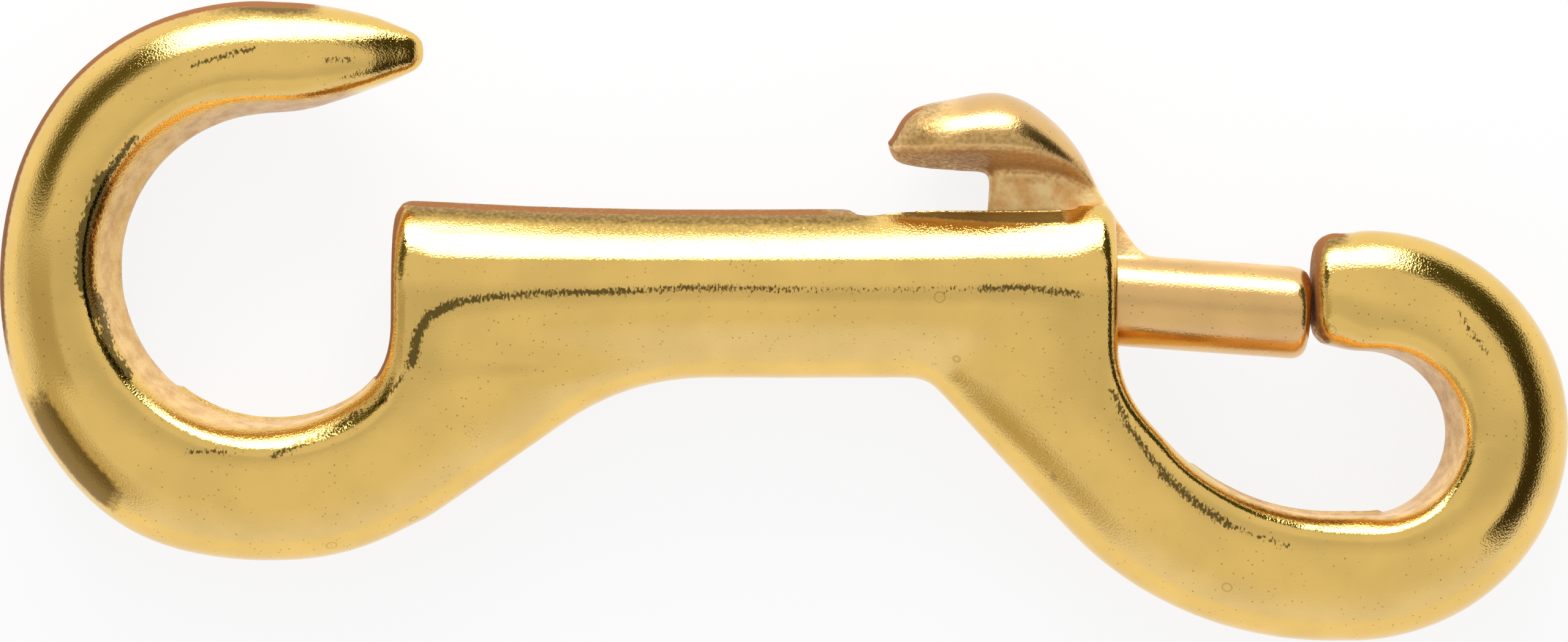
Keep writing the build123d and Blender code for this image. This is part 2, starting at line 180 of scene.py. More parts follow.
def brass(name, tones, skin_tones, gloss, bare_gloss):
    """Yellow brass, 70 parts copper to 30 zinc, sand cast, ground and then buffed.

    The mop leaves it mirror-like, so it shows the room in warm bands with slightly wavy
    edges. What the mop never reached is cast skin, matt and paler.
    """
    material, tree = blank_material(name)
    place = add(tree, "ShaderNodeTexCoord")
    bare = add(tree, "ShaderNodeAttribute", attribute_name="rough_cast")
    # Painted dark reflection in olive, broken into grains at its borders
    darkened = grainy_cover(tree, place, "painted_dark_reflection")
    # Painted brown shade and painted dark reflection, broken into grains at its borders
    brown_shaded = grainy_cover(tree, place, "painted_shade_and_reflection")

    colour = tarnished(tree, place, tones)
    colour = spotted(tree, place, colour)
    for share, finish in (
        ((bare, "Fac"), (cast_skin(tree, place, skin_tones), 2)),
        (darkened, linear(OLIVE_DARK_REFLECTION)),
        (brown_shaded, linear(SHADE_BROWN)),
        # Painted dark reflection along the crowns
        (crown_reflection(tree, place), linear(CROWN_REFLECTION_BROWN)),
    ):
        colour = add(
            tree, "ShaderNodeMix", {0: share, 6: (colour, 2), 7: finish}, data_type="RGBA",
        )

    # Mirror-like where it was buffed, dull where it wasn't, and matt under the painted brown shade and reflection
    smears = add(
        tree, "ShaderNodeTexNoise",
        {"Vector": (place, "Object"), "Scale": 1 / (3 * MM), "Detail": 4.0},
    )
    buffed = add(
        tree, "ShaderNodeMapRange",
        {0: (smears, "Fac"), 1: 0.3, 2: 0.7, 3: gloss[0], 4: gloss[1]},
    )
    rough = add(tree, "ShaderNodeMix", {0: (bare, "Fac"), 2: buffed, 3: bare_gloss})
    rough = add(tree, "ShaderNodeMix", {0: brown_shaded, 2: rough, 3: 0.75})
    # The cast skin and the painted brown shade and reflection hide some of the metal
    through_skin, through_brown = (
        add(tree, "ShaderNodeMapRange", {0: cover, 1: 0.0, 2: 1.0, 3: 1.0, 4: 0.3})
        for cover in ((bare, "Fac"), brown_shaded)
    )
    metal = add(
        tree, "ShaderNodeMath", {0: through_skin, 1: through_brown}, operation="MULTIPLY",
    )
    surface = add(
        tree, "ShaderNodeBsdfPrincipled",
        {
            "Base Color": (colour, 2), "Metallic": metal, "Roughness": rough,
            "Normal": relief(tree, place, bare),
        },
    )
    add(tree, "ShaderNodeOutputMaterial", {"Surface": surface})
    return material


def tarnished(tree, place, tones):
    """Thin tarnish in patches a few millimetres across."""
    patches = add(
        tree, "ShaderNodeTexNoise",
        {"Vector": (place, "Object"), "Scale": 1 / (4 * MM), "Detail": 4.0},
    )
    share = add(
        tree, "ShaderNodeMapRange", {0: (patches, "Fac"), 1: 0.38, 2: 0.62, 3: 0.0, 4: 1.0},
    )
    return add(
        tree, "ShaderNodeMix", {0: share, 6: linear(tones[0]), 7: linear(tones[1])},
        data_type="RGBA",
    )


def spotted(tree, place, colour):
    """Pits of the casting, and rings that drops of polishing water dried to."""
    # Pits and specks, under a fifth of a millimetre
    specks = add(
        tree, "ShaderNodeTexVoronoi",
        {"Vector": (place, "Object"), "Scale": 1 / (0.5 * MM), "Randomness": 1.0},
    )
    near = add(
        tree, "ShaderNodeMapRange",
        {0: (specks, "Distance"), 1: 0.05, 2: 0.17, 3: 0.75, 4: 0.0},
    )
    where = add(
        tree, "ShaderNodeTexNoise",
        {"Vector": (place, "Object"), "Scale": 1 / (5 * MM), "Detail": 2.0},
    )
    crowded = add(
        tree, "ShaderNodeMapRange", {0: (where, "Fac"), 1: 0.38, 2: 0.56, 3: 0.0, 4: 1.0},
    )
    pit = add(tree, "ShaderNodeMath", {0: near, 1: crowded}, operation="MULTIPLY")
    # Rings three quarters of a millimetre across
    drops = add(
        tree, "ShaderNodeTexVoronoi",
        {"Vector": (place, "Object"), "Scale": 1 / (6 * MM), "Randomness": 1.0},
    )
    inward = add(
        tree, "ShaderNodeMath", {0: (drops, "Distance"), 1: 0.06}, operation="SUBTRACT",
    )
    off_ring = add(tree, "ShaderNodeMath", {0: inward}, operation="ABSOLUTE")
    ring = add(tree, "ShaderNodeMapRange", {0: off_ring, 1: 0.004, 2: 0.014, 3: 0.32, 4: 0.0})
    for share in (pit, ring):
        colour = add(
            tree, "ShaderNodeMix", {0: share, 6: (colour, 2), 7: linear(PIT_BROWN)},
            data_type="RGBA",
        )
    return colour


def cast_skin(tree, place, skin_tones):
    """Skin that the mop never reached, mottled by the sand it was cast in."""
    mottle = add(
        tree, "ShaderNodeTexNoise",
        {"Vector": (place, "Object"), "Scale": 1 / (1.2 * MM), "Detail": 5.0},
    )
    share = add(
        tree, "ShaderNodeMapRange", {0: (mottle, "Fac"), 1: 0.36, 2: 0.6, 3: 0.0, 4: 1.0},
    )
    return add(
        tree, "ShaderNodeMix", {0: share, 6: linear(skin_tones[0]), 7: linear(skin_tones[1])},
        data_type="RGBA",
    )


def grainy_cover(tree, place, cover):
    """How far a painted darkening covers the brass, broken up into grains at its borders."""
    grit = add(
        tree, "ShaderNodeTexNoise",
        {"Vector": (place, "Object"), "Scale": 1 / (0.28 * MM), "Detail": 4.0},
    )
    reach = add(tree, "ShaderNodeAttribute", attribute_name=cover)
    broken = add(
        tree, "ShaderNodeMath", {0: (grit, "Fac"), 1: 0.6, 2: (reach, "Fac")},
        operation="MULTIPLY_ADD",
    )
    return add(tree, "ShaderNodeMapRange", {0: broken, 1: 0.5, 2: 0.95, 3: 0.0, 4: 1.0})


def crown_reflection(tree, place):
    """Painted dark reflection along the listed crown lines, as short hairs that slant across each line.

    The hairs of the real dark line are finer than a tenth of a millimetre. These are 0.17 mm, so that they show.
    """
    combed = add(
        tree, "ShaderNodeMapping",
        {
            "Vector": (place, "Object"), "Rotation": (0, 0, math.radians(-35)),
            "Scale": (1 / (0.17 * MM), 1 / (0.32 * MM), 1 / (0.32 * MM)),
        },
    )
    hairs = add(tree, "ShaderNodeTexNoise", {"Vector": combed, "Scale": 1.0, "Detail": 3.0})
    spread = add(
        tree, "ShaderNodeMapRange", {0: (hairs, "Fac"), 1: 0.25, 2: 0.75, 3: -0.3, 4: 0.3},
    )
    line = add(tree, "ShaderNodeAttribute", attribute_name="painted_crown_line")
    near_line = add(tree, "ShaderNodeMath", {0: (line, "Fac"), 1: spread}, operation="ADD")
    return add(tree, "ShaderNodeMapRange", {0: near_line, 1: 0.44, 2: 0.62, 3: 0.0, 4: 1.0})


def relief(tree, place, bare):
    """Orange peel that the mop left, deeper on the shoulders, and sand's grain where bare.

    The real peel is finer than 0.15 mm, which is the finest that shows.
    """
    peel = add(
        tree, "ShaderNodeTexNoise",
        {"Vector": (place, "Object"), "Scale": 1 / (0.15 * MM), "Detail": 2.0},
    )
    shoulder = add(tree, "ShaderNodeAttribute", attribute_name="shoulder")
    depth = add(
        tree, "ShaderNodeMapRange", {0: (shoulder, "Fac"), 1: 0.0, 2: 1.0, 3: 0.35, 4: 1.3},
    )
    rolled = add(tree, "ShaderNodeMath", {0: (peel, "Fac"), 1: depth}, operation="MULTIPLY")
    peeled = add(
        tree, "ShaderNodeBump", {"Height": rolled, "Strength": 1.0, "Distance": 0.016 * MM},
    )
    sand = add(
        tree, "ShaderNodeTexNoise",
        {"Vector": (place, "Object"), "Scale": 1 / (0.35 * MM), "Detail": 4.0},
    )
    sandy = add(
        tree, "ShaderNodeMath", {0: (sand, "Fac"), 1: (bare, "Fac")}, operation="MULTIPLY",
    )
    return add(
        tree, "ShaderNodeBump",
        {"Height": sandy, "Strength": 1.0, "Distance": 0.1 * MM, "Normal": peeled},
    )


def spring_wire():
    """Stainless spring wire, pulled through a die and left bare: pale grey with a soft shine.

    The die's lines are too fine to show, and stand as faint patches of 0.3 mm.
    """
    material, tree = blank_material("drawn_spring_steel")
    place = add(tree, "ShaderNodeTexCoord")
    patches = add(
        tree, "ShaderNodeTexNoise",
        {"Vector": (place, "Object"), "Scale": 1 / (0.3 * MM), "Detail": 3.0},
    )
    tone = add(
        tree, "ShaderNodeMix",
        {0: (patches, "Fac"), 6: linear("#9C9C9E"), 7: linear("#C8C8CA")}, data_type="RGBA",
    )
    gloss = add(
        tree, "ShaderNodeMapRange", {0: (patches, "Fac"), 1: 0.3, 2: 0.7, 3: 0.25, 4: 0.4},
    )
    surface = add(
        tree, "ShaderNodeBsdfPrincipled",
        {"Base Color": (tone, 2), "Metallic": 1.0, "Roughness": gloss},
    )
    add(tree, "ShaderNodeOutputMaterial", {"Surface": surface})
    return material


# ---------------------------------------------------------------- skins over the castings

def skin(node, name, grain, rounds, passes):
    """An even, fine skin over a casting, its sharp edges softened by the polishing mop.

    The rounds soften everything. Each pass after them is a number of rounds and a
    function that says how hard the mop bears on each vertex, from its place and facing.
    """
    mesh = frame["nodes"][node].data.copy()
    shell = bmesh.new()
    shell.from_mesh(mesh)
    bmesh.ops.remove_doubles(shell, verts=shell.verts, dist=0.001 * MM)
    shell.to_mesh(mesh)
    shell.free()
    piece = link(bpy.data.objects.new(name, mesh))
    remesh = piece.modifiers.new("even", "REMESH")
    remesh.mode = "VOXEL"
    remesh.voxel_size = grain
    remesh.use_smooth_shade = True
    mop(piece, rounds)
    for count, bearing in passes:
        mop(piece, count, bearing)
    piece.data.materials.clear()
    piece.data.polygons.foreach_set("use_smooth", [True] * len(piece.data.polygons))
    return piece


def mop(piece, rounds, bearing=None):
    """Softens a piece's shape, all over or where a bearing says so, and bakes it in."""
    smooth = piece.modifiers.new("mop", "SMOOTH")
    smooth.factor = 0.5
    smooth.iterations = rounds
    if bearing:
        group = piece.vertex_groups.new(name="bearing")
        for index, share in enumerate(bearing(*places(piece.data))):
            if share > 0:
                group.add([index], share, "REPLACE")
        smooth.vertex_group = "bearing"
    bake(piece)
    piece.vertex_groups.clear()


def bake(piece):
    """Makes what the modifiers give the piece's own mesh."""
    depsgraph = bpy.context.evaluated_depsgraph_get()
    piece.data = bpy.data.meshes.new_from_object(piece.evaluated_get(depsgraph))
    piece.modifiers.clear()


def ripple(piece, length, height, seed):
    """Moves the skin in and out by the slow waves that hand polishing leaves."""
    at, facing = places(piece.data)
    shift = Vector((seed * 7.3, seed * 3.1, seed * 5.7))
    waves = np.array([noise.noise(Vector(p) / length + shift) for p in at])
    move_to(piece, at + facing * (waves * height)[:, None])


def from_eye(at, facing, eye):
    """How far each point is from a hook's eye, and how squarely it faces the eye."""
    away = (at - np.array(eye))[:, :2]
    distance = np.hypot(*away.T)
    return distance, -(away * facing[:, :2]).sum(axis=1) / distance


def above_bolt(at):
    """Height of points over the bolt's axis, on the thumb's side, in millimetres."""
    return (at - np.array(bore_middle)) @ np.array(thumb_side) / MM


def less_on_walls(upright):
    """How much of the painted brown shade and reflection stays: less on the upright walls."""
    return 1 - 0.35 * step(upright, 0.66, 0.9)


# ---------------------------------------------------------------- body

def flat_sides(at, facing):
    """The broad flanks, which the mop evens out most."""
    return step(np.abs(facing[:, 2]), 0.72, 0.88)


def inner_edge(at, facing):
    """The open hook's inner edge, rounded wide by the buffing stick."""
    distance, inward = from_eye(at, facing, open_eye)
    return step(inward, 0.08, 0.3) * (1 - step(distance / MM, 12.5, 14.5))


def nose_tip(at, facing):
    """The open hook's tip, blunted all round."""
    x, y = at[:, 0] / MM, at[:, 1] / MM
    return step(x, -28.8, -26.8) * (x < -23) * (y > 13)


def slot_start(at, facing):
    """Where the slot's sunk face runs out on the barrel."""
    near = 1 - step(np.abs(at[:, 0] / MM - 4.5), 1.5, 3)
    return near * step(above_bolt(at), 3.6, 4.2)


def dress_barrel(at, facing):
    """Takes the barrel's shoulders down to the two long flats that the belt left.

    The upper flat is up to 0.3 mm deep, the lower up to 0.45 mm with longer run-outs.
    """
    x, below = at[:, 0] / MM, (crown_y - at[:, 1]) / MM
    lower = below > 0
    depth = 0.3 * np.clip((-below - 2.1) / 2.2, 0, 1)
    depth += 0.45 * band(below, 1.5, 4.2, 4.4, 6.6)
    start, end = np.where(lower, -25, -26.5), np.where(lower, 18, 22.5)
    run_out = np.where(lower, 9, 3)
    depth *= band(x, start, start + run_out, end - run_out, end)
    side = np.sign(at[:, 2] - bore_middle.z) * step(np.abs(facing[:, 2]), 0.05, 0.3)
    at[:, 2] -= side * depth * MM


def dress_eye(at, facing, eye, reach, width, drop, turn):
    """Rounds the edge of a hook's eye wide, through a turn of directions round the eye.

    The drop is deepest at the eye's wall and gone a width behind it. Returns how far each
    point lies behind the wall, and its direction from the eye in degrees.
    """
    away = at - np.array(eye)
    distance = np.hypot(away[:, 0], away[:, 1])
    heading = np.degrees(np.arctan2(away[:, 1], away[:, 0])) % 360
    inward = from_eye(at, facing, eye)[1]
    wall = (distance < reach) & (np.abs(facing[:, 2]) < 0.5) & (inward > 0.5)
    slices = np.arange(0, 361, 6)
    nearest = np.array([
        min(distance[wall & (np.abs((heading - a + 180) % 360 - 180) < 4)], default=reach)
        for a in slices
    ])
    past = distance - np.interp(heading, slices, nearest)
    depth = (1 - step(past, 0, width)) * (distance < reach + width)
    depth *= band(heading, turn[0], turn[0] + 25, turn[1] - 25, turn[1])
    # Nearly half deeper on the side that faces the snap's open end
    depth *= 1 + 0.45 * (1 - step(np.abs(heading - 168), 28, 50))
    at[:, 2] -= (at[:, 2] - eye.z) / half_thick * depth * drop
    return past, heading


def cast_flash(at, past, heading, turn):
    """A thin fin of metal in the eye, where the two halves of the mould met."""
    proud = 0.3 * MM
    fin = 1 - step(np.abs(at[:, 2] - bore_middle.z), 0.12 * MM, 0.4 * MM)
    fin *= (past < 0.8 * MM) & (heading > turn[0]) & (heading < turn[1])
    way = np.radians(heading)
    at[:, 0] -= np.cos(way) * fin * proud
    at[:, 1] -= np.sin(way) * fin * proud


# Painted dark reflection lines along the crowns, where they face up: half width and points in millimetres
CROWN_REFLECTION_LINES = [
    # Along the barrel, from its left end
    (0.36, [(-25.6, -2.9), (-25.2, -0.9), (-24.5, 0.3), (-22.6, 1.25)]),
    (0.22, [(-22.6, 1.25), (-20.5, 1.6), (-17.5, 1.9), (-10.7, 2.05)]),
    (0.17, [(-12.0, 1.95), (-6.4, 2.3), (-3.4, 2.25), (1.0, 2.15)]),
    (0.08, [(1.0, 2.15), (5.0, 2.15), (13.5, 2.2)]),
    (0.2, [(13.5, 2.2), (16.5, 2.3), (20.3, 1.85)]),
    # Under the open hook
    (0.1, [(-25.9, -3.3), (-27.6, -5.6), (-29.5, -6.5)]),
    (0.2, [(-29.3, -6.3), (-31.2, -7.6), (-35.2, -9.3)]),
    (0.1, [(-41.3, -9.0), (-38.4, -9.0)]),
    # On the open hook's point
    (0.14, [(-40.8, 17.6), (-38.6, 18.3), (-36.6, 18.8)]),
    (0.11, [(-31.7, 18.0), (-29.8, 18.1)]),
    # Under the closed hook, and on its far side
    (0.22, [(22.6, -4.8), (23.7, -7.2), (25.3, -9.5), (27.0, -11.3)]),
    (0.28, [(26.0, -10.5), (28.8, -12.9), (30.6, -14.0)]),
    (0.1, [(30.6, -14.0), (32.4, -14.7), (34.8, -15.5)]),
    (0.14, [(46.6, 0.5), (48.4, -2.1)]),
    # Round the open hook's eye
    (0.26, [(-44.8, 12.6), (-46.8, 10.0)]),
    (0.54, [(-46.9, 9.8), (-48.2, 6.0), (-48.3, 2.8), (-47.4, 0.6)]),
    (0.3, [(-47.2, 0.6), (-46.5, -2.0), (-45.2, -3.8)]),
]


def nearness(at, strokes):
    """Half at a stroke's border, rising to its middle and gone half a millimetre outside."""
    near = np.zeros(len(at))
    for half_width, points in strokes:
        points = np.array(points) * MM
        for start, end in zip(points, points[1:]):
            run = end - start
            share = np.clip((at[:, :2] - start) @ run / (run @ run), 0, 1)
            foot = start + share[:, None] * run
            away = np.hypot(*(at[:, :2] - foot).T)
            near = np.maximum(near, 0.5 + (half_width * MM - away) / (0.9 * MM))
    return near


def shape_body(piece):
    """The belt's flats, the wide inner edges, the flash and the mop's slow waves."""
    at, facing = places(piece.data)
    dress_barrel(at, facing)
    edge = dress_eye(
        at, facing, open_eye, reach=14 * MM, width=2.4 * MM, drop=1.0 * MM, turn=(95, 330),
    )
    cast_flash(at, *edge, turn=(232, 312))
    edge = dress_eye(
        at, facing, bolt_eye, reach=13 * MM, width=1.6 * MM, drop=0.6 * MM, turn=(165, 330),
    )
    cast_flash(at, *edge, turn=(190, 284))
    move_to(piece, at)
    mop(piece, rounds=2)
    ripple(piece, length=6 * MM, height=0.03 * MM, seed=1)
    ripple(piece, length=2.2 * MM, height=0.006 * MM, seed=5)


def finish_body(piece):
    """Marks where the body is bare, and where painted dark reflections, painted shade and painted crown lines go.
    Places are in millimetres.
    """
    at, facing = places(piece.data)
    x, y = at[:, 0] / MM, at[:, 1] / MM
    upright = 1 - np.abs(facing[:, 2])

    # Places on the casting
    nose_end = band(x, 30, 32, 38.4, 40)
    hook_back = (x < -28) * (1 - step(x, -34, -31))
    barrel_top = (x > -28) * (y < 12) * (1 - step(x, 5, 8))
    # Places that take the painted olive and brown darkening
    darkened = np.maximum(np.maximum(nose_end, barrel_top), hook_back)
    slot_flats = step(facing @ np.array(thumb_side), 0.7, 0.85)
    slot_flats *= step(above_bolt(at), 4.3, 4.9) * band(x, 2.5, 3.5, 19, 20)

    # Bare cast skin on the inner walls of both eyes and on the slot's sunk faces
    wall = 1 - step(np.abs(facing[:, 2]), 0.25, 0.6)
    bare = 0.6 * slot_flats
    for eye, reach in ((open_eye, 12.5), (bolt_eye, 10.5)):
        distance, inward = from_eye(at, facing, eye)
        inner = wall * step(inward, 0.35, 0.7) * (1 - step(distance / MM, reach, reach * 1.12))
        bare = np.maximum(bare, inner)
    mark(piece.data, "rough_cast", bare)
    distance, inward = from_eye(at, facing, open_eye)
    outside = (1 - bare) * (1 - step(inward, -0.3, 0.3) * (distance / MM < 14))

    # Painted dark reflection in olive on faces turned toward the snap's back, and low on the left of the open hook
    # where the faces turn down and left
    toward_back = facing[:, 0] * -0.5 + facing[:, 1] * 0.87
    painted_dark_reflection = step(toward_back, 0.2, 0.5) * step(upright, 0.2, 0.45) * darkened
    painted_dark_reflection *= np.where(hook_back > 0, 0.7 * step(x, -43, -36), 0.58)
    heading = np.degrees(np.arctan2(facing[:, 1], facing[:, 0])) % 360
    low_left = band(heading, 196, 214, 226, 240) * band(upright, 0.1, 0.2, 0.4, 0.6)
    low_left *= x < open_eye.x / MM - 4
    painted_dark_reflection = np.maximum(painted_dark_reflection, low_left) * outside
    # The slot's sunk faces get 0.8 of the same olive
    mark(piece.data, "painted_dark_reflection", np.maximum(painted_dark_reflection, 0.8 * slot_flats))

    # Painted dark reflection in brown outlines the back and the barrel's left end, and painted shade darkens the
    # nose's face, where it meets the bolt's end
    thin = np.where(hook_back > 0, step(upright, 0.42, 0.6), step(upright, 0.46, 0.64))
    painted_brown = step(toward_back, 0.1, 0.5) * thin * darkened * outside
    painted_brown *= np.where(barrel_top > 0, 0.66, 0.9)
    facing_left = step(-facing[:, 0], 0.2, 0.55) * step(upright, 0.3, 0.6)
    nose_face = facing_left * nose_end * (y > -6) * (x > 35)
    barrel_end = facing_left * (np.abs(x + 27) < 2) * (y > -4)
    painted_brown = np.maximum(painted_brown, np.maximum(0.7 * nose_face, 0.8 * barrel_end))
    mark(piece.data, "painted_shade_and_reflection", painted_brown * less_on_walls(upright))

    # Painted dark reflection along the crown lines, only where the crown faces up
    mark(piece.data, "painted_crown_line", nearness(at, CROWN_REFLECTION_LINES) * step(facing[:, 2], 0.15, 0.35))
    mark(piece.data, "shoulder", step(upright, 0.05, 0.14))


def body_piece():
    """The body casting: polished outside, as cast on the inner walls of both hooks."""
    passes = [(10, flat_sides), (25, inner_edge), (37, nose_tip), (25, slot_start)]
    piece = skin("snap_body", "body_casting", grain=0.306 * MM, rounds=3, passes=passes)
    shape_body(piece)
    finish_body(piece)
    # Buffed on a soft mop with fine polish: nearly a mirror
    piece.data.materials.append(
        brass("buffed_cast_brass", POLISHED, BODY_SKIN, gloss=(0.04, 0.09), bare_gloss=0.24)
    )
    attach(piece, "body")
    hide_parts("snap_body")


# ---------------------------------------------------------------- bolt

def cap_skin(at, facing):
    """The thumb cap, which a small mop reached all round."""
    return step(above_bolt(at), 6.6, 8.0)


def web_root(at, facing):
    """Where the web runs out into the cap and into the bolt."""
    thin = 1 - step(np.abs(at[:, 2] - bore_middle.z), 2.2 * MM, 3.2 * MM)
    return thin * band(above_bolt(at), 1.6, 2.4, 8.9, 9.8)


def shape_bolt(piece):
    """The front end, drawn a little closer to the nose, and the mop's slow waves."""
    at = places(piece.data)[0]
    reach = at @ np.array(-draw_back)
    forward = 0.12 * MM * step(reach, reach.max() - 2 * MM, reach.max())
    move_to(piece, at - np.array(draw_back) * forward[:, None])
    ripple(piece, length=4 * MM, height=0.015 * MM, seed=2)
    ripple(piece, length=1.3 * MM, height=0.005 * MM, seed=6)


def finish_bolt(piece):
    """Marks where the bolt's casting is bare, and where painted dark reflection and painted shade go."""
    at, facing = places(piece.data)
    x, height = at[:, 0] / MM, above_bolt(at)
    upright = 1 - np.abs(facing[:, 2])
    rising = facing @ np.array(thumb_side)
    hanging = step(-rising, -0.05, 0.35)
    web = band(height, 2.6, 3.6, 7.4, 8.2)
    cap = step(height, 7.0, 8.0)
    cap_top = cap * (1 - hanging)

    back = 0.45 * cap * (1 - step(x, 10.5, 13))
    mark(piece.data, "rough_cast", np.maximum(np.maximum(web, 0.25 * cap * hanging), back))
    # Painted dark reflection in olive on the cap's left part and low on its dome
    dark_reflection_left = 0.45 * cap_top * (1 - step(x, 10, 12.8))
    dome = 0.36 * cap_top * (1 - step(rising, 0.25, 0.5))
    mark(piece.data, "painted_dark_reflection", np.maximum(dark_reflection_left, dome))
    # Painted dark reflection in brown on the cap's rim toward the back, and painted shade under the cap
    rim = cap_top * step(-facing[:, 0], 0.1, 0.6) * step(upright, 0.5, 0.7)
    under_cap = 0.36 * hanging * step(height, 5.6, 8.4)
    mark(piece.data, "painted_shade_and_reflection", np.maximum(rim * less_on_walls(upright), under_cap))
    mark(piece.data, "painted_crown_line", np.zeros(len(at)))
    mark(piece.data, "shoulder", np.full(len(at), 0.6))


def bolt_piece():
    """Bolt, web and thumb cap: satin rod, rough cast web and a buffed cap."""
    passes = [(4, flat_sides), (24, cap_skin), (60, web_root)]
    piece = skin("bolt", "bolt_casting", grain=0.16 * MM, rounds=4, passes=passes)
    shape_bolt(piece)
    finish_bolt(piece)
    # Tumbled, then worn dull by its bore: its highlights spread
    piece.data.materials.append(
        brass("satin_cast_brass", SATIN, BOLT_SKIN, gloss=(0.16, 0.25), bare_gloss=0.5)
    )
    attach(piece, "bolt")
    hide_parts("bolt")


# ---------------------------------------------------------------- spring

def coil():
    """Geometry Nodes that wind a compression spring up the Z axis, its ends closed."""
    tree = bpy.data.node_groups.new("coil_spring", "GeometryNodeTree")
    sizes = {
        name: tree.interface.new_socket(
            name, in_out="INPUT", socket_type="NodeSocket" + kind
        ).identifier
        for name, kind in (
            ("Coil Radius", "Float"), ("Wire", "Float"), ("Length", "Float"),
            ("Turns", "Float"), ("Material", "Material"),
        )
    }
    tree.interface.new_socket("Spring", in_out="OUTPUT", socket_type="NodeSocketGeometry")
    given = add(tree, "NodeGroupInput")
    radius, wire, length, turns, material = ((given, name) for name in sizes)
    line = add(
        tree, "GeometryNodeCurveSpiral",
        {
            "Resolution": 28, "Rotations": turns, "Height": 0.0,
            "Start Radius": radius, "End Radius": radius,
        },
    )
    # The first and last turns rise by one wire, and the rest share the open length
    along = (add(tree, "GeometryNodeSplineParameter"), "Factor")
    first = add(tree, "ShaderNodeMath", {0: 1.0, 1: turns}, operation="DIVIDE")
    last = add(tree, "ShaderNodeMath", {0: 1.0, 1: first}, operation="SUBTRACT")
    open_length = add(
        tree, "ShaderNodeMath", {0: wire, 1: -2.0, 2: length}, operation="MULTIPLY_ADD",
    )
    foot = add(tree, "ShaderNodeMapRange", {0: along, 1: 0.0, 2: first, 3: 0.0, 4: wire})
    rise = add(
        tree, "ShaderNodeMapRange", {0: along, 1: first, 2: last, 3: 0.0, 4: open_length},
    )
    head = add(tree, "ShaderNodeMapRange", {0: along, 1: last, 2: 1.0, 3: 0.0, 4: wire})
    lower = add(tree, "ShaderNodeMath", {0: foot, 1: rise}, operation="ADD")
    height = add(tree, "ShaderNodeMath", {0: lower, 1: head}, operation="ADD")
    lift = add(tree, "ShaderNodeCombineXYZ", {"Z": height})
    raised = add(tree, "GeometryNodeSetPosition", {"Geometry": line, "Offset": lift})
    half_wire = add(tree, "ShaderNodeMath", {0: wire, 1: 0.5}, operation="MULTIPLY")
    round_wire = add(
        tree, "GeometryNodeCurvePrimitiveCircle", {"Resolution": 12, "Radius": half_wire}
    )
    swept = add(
        tree, "GeometryNodeCurveToMesh",
        {"Curve": raised, "Profile Curve": round_wire, "Fill Caps": True},
    )
    smooth = add(tree, "GeometryNodeSetShadeSmooth", {"Geometry": swept})
    real = add(tree, "GeometryNodeRealizeInstances", {"Geometry": smooth})
    finished = add(tree, "GeometryNodeSetMaterial", {"Geometry": real, "Material": material})
    add(tree, "NodeGroupOutput", {"Spring": finished})
    return tree, sizes


def spring_piece():
    """The compression spring behind the bolt, baked as one fixed mesh."""
    size = spring_high - spring_low
    across = size.z
    length = (size.x - across * abs(draw_back.y)) / abs(draw_back.x)
    wire = 0.8 * MM
    piece = link(bpy.data.objects.new("coil_spring", bpy.data.meshes.new("coil_spring")))
    wound = piece.modifiers.new("coil", "NODES")
    wound.node_group, sizes = coil()
    wound[sizes["Coil Radius"]] = (across - wire) / 2
    wound[sizes["Wire"]] = wire
    wound[sizes["Length"]] = length - wire
    wound[sizes["Turns"]] = 7.0
    wound[sizes["Material"]] = spring_wire()
    bake(piece)
    back_end = bore_middle + draw_back * (length / 2)
    turn = draw_back.to_track_quat("-Z", "X").to_matrix().to_4x4()
    start = Matrix.Translation(back_end - draw_back * (wire / 2))
    piece.data.transform(start @ turn)
    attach(piece, "body")
    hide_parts("spring")
    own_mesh(piece)


# ---------------------------------------------------------------- stage

# Cards and gaps of the studio: name, range round the snap, range down from straight
# above, width of the soft border (all in degrees) and colour
CARDS = [
    ("gap_right", (-36, 50), (46, 80), 5, "#3A3420"),
    ("gap_corner", (22, 76), (47, 89), 6, "#4A4A2A"),
    ("gap_back", (106, 172), (45, 86), 12, "#5C5836"),
    ("haze_left", (190, 238), (50, 92), 14, "#C2BAA6"),
    ("haze_side", (168, 206), (32, 76), 10, "#BDB8AB"),
]


def card(name, around, down, border, colour):
    """A curved card of the studio, over a range of directions. Only reflections see it."""
    columns, rows, distance = 60, 30, 1.5
    turn, tilt = np.meshgrid(np.linspace(*around, columns), np.linspace(*down, rows))
    solid = band(turn, around[0], around[0] + border, around[1] - border, around[1])
    solid *= band(tilt, down[0], down[0] + border, down[1] - border, down[1])
    turn, tilt = np.radians(turn), np.radians(tilt)
    corners = np.stack(
        [np.sin(tilt) * np.cos(turn), np.sin(tilt) * np.sin(turn), np.cos(tilt)], axis=-1
    )
    corners = corners.reshape(-1, 3) * distance + np.array(middle)
    faces = [
        (i, i + 1, i + columns + 1, i + columns)
        for row in range(rows - 1) for i in range(row * columns, (row + 1) * columns - 1)
    ]
    mesh = bpy.data.meshes.new(name)
    mesh.from_pydata(corners.tolist(), [], faces)
    mark(mesh, "solid", solid.ravel())
    obj = link(bpy.data.objects.new(name, mesh))
    material, tree = blank_material(name)
    cover = add(tree, "ShaderNodeAttribute", attribute_name="solid")
    clear = add(tree, "ShaderNodeBsdfTransparent")
    glow = add(tree, "ShaderNodeEmission", {"Color": linear(colour), "Strength": 1.0})
    mixed = add(tree, "ShaderNodeMixShader", {0: (cover, "Fac"), 1: clear, 2: glow})
    add(tree, "ShaderNodeOutputMaterial", {"Surface": mixed})
    mesh.materials.append(material)
    obj.visible_camera = False
    obj.visible_diffuse = False
    obj.visible_shadow = False


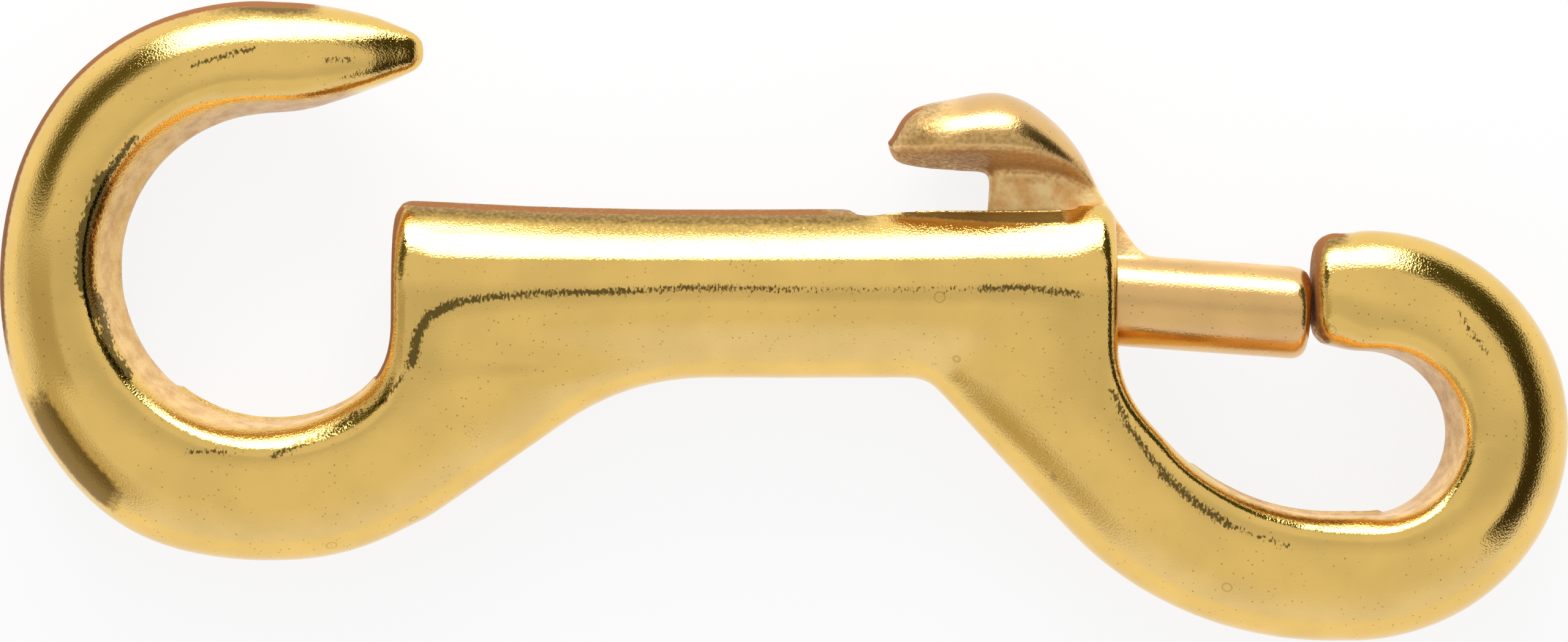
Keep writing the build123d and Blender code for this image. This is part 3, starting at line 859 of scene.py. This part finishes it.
def floor():
    """Plain white paper under the snap, matt. It keeps the snap's faint shadow."""
    half = 0.9
    under = -0.02 * MM
    corners = [(-half, -half), (half, -half), (half, half), (-half, half)]
    mesh = bpy.data.meshes.new("paper")
    mesh.from_pydata([(x, y, under) for x, y in corners], [], [(0, 1, 2, 3)])
    obj = link(bpy.data.objects.new("paper", mesh))
    material, tree = blank_material("white_paper")
    paper = add(tree, "ShaderNodeBsdfDiffuse", {"Color": (0.86, 0.86, 0.86, 1)})
    glow = add(tree, "ShaderNodeEmission", {"Color": (1, 1, 1, 1), "Strength": 1.0})
    # Seen directly, mirrored or through something clear, most of it is plain white
    path = add(tree, "ShaderNodeLightPath")
    seen = (path, "Is Camera Ray")
    for ray in ("Is Glossy Ray", "Is Transmission Ray"):
        seen = add(tree, "ShaderNodeMath", {0: seen, 1: (path, ray)}, operation="MAXIMUM")
    share = add(tree, "ShaderNodeMath", {0: seen, 1: 0.85}, operation="MULTIPLY")
    mixed = add(tree, "ShaderNodeMixShader", {0: share, 1: paper, 2: glow})
    add(tree, "ShaderNodeOutputMaterial", {"Surface": mixed})
    mesh.materials.append(material)


def tent():
    """World light of a white tent: dimmer in a strip over the snap's whole length, and
    brighter and bluish low down in its open front."""
    world = bpy.data.worlds.new("tent")
    world.use_nodes = True
    tree = world.node_tree
    way = add(tree, "ShaderNodeTexCoord")
    parts = add(tree, "ShaderNodeSeparateXYZ", {0: (way, "Generated")})
    low_down = add(
        tree, "ShaderNodeMapRange", {0: (parts, "Z"), 1: 0.72, 2: 0.2, 3: 0.0, 4: 1.0},
    )
    in_front = add(
        tree, "ShaderNodeMapRange", {0: (parts, "Y"), 1: 0.1, 2: -0.5, 3: 0.0, 4: 1.0},
        interpolation_type="SMOOTHSTEP",
    )
    front = add(tree, "ShaderNodeMath", {0: low_down, 1: in_front}, operation="MULTIPLY")
    sideways = add(tree, "ShaderNodeMath", {0: (parts, "Y")}, operation="ABSOLUTE")
    white = add(
        tree, "ShaderNodeMapRange", {0: sideways, 1: 0.05, 2: 0.25, 3: 0.655, 4: 0.79},
    )
    cloth = add(tree, "ShaderNodeCombineColor", {0: white, 1: white, 2: white})
    colour = add(
        tree, "ShaderNodeMix", {0: front, 6: cloth, 7: (0.87, 0.915, 1.2, 1)},
        data_type="RGBA",
    )
    tree.links.new(colour.outputs[2], tree.nodes["Background"].inputs["Color"])
    bpy.context.scene.world = world


def softbox(azimuth, distance, height, width, depth, radiance):
    """A soft lamp behind the snap, its face upright."""
    box = bpy.data.lights.new("softbox", "AREA")
    box.shape = "RECTANGLE"
    box.size = width
    box.size_y = depth
    box.energy = radiance * math.pi * width * depth
    lamp = link(bpy.data.objects.new("softbox", box))
    a = math.radians(azimuth)
    lamp.location = (distance * math.cos(a), distance * math.sin(a), height)
    lamp.rotation_euler = (math.radians(-90), 0, a - math.radians(90))
    lamp.visible_camera = False


def camera():
    """Straight down on the snap, with its whole length just inside the picture."""
    above = 0.38
    picture_width = 109.4017 * MM
    lens = bpy.data.cameras.new("camera")
    lens.sensor_fit = "HORIZONTAL"
    lens.sensor_width = 36.0
    lens.lens = lens.sensor_width * above / picture_width
    lens.clip_start = 0.01
    lens.clip_end = 10
    eye = link(bpy.data.objects.new("camera", lens))
    eye.location = (middle.x, middle.y, middle.z + above)
    bpy.context.scene.camera = eye


body_piece()
bolt_piece()
spring_piece()
floor()
tent()
softbox(azimuth=94, distance=0.185, height=0.088, width=0.215, depth=0.122, radiance=6)
for row in CARDS:
    card(*row)
camera()
bpy.context.scene.view_settings.view_transform = "Standard"
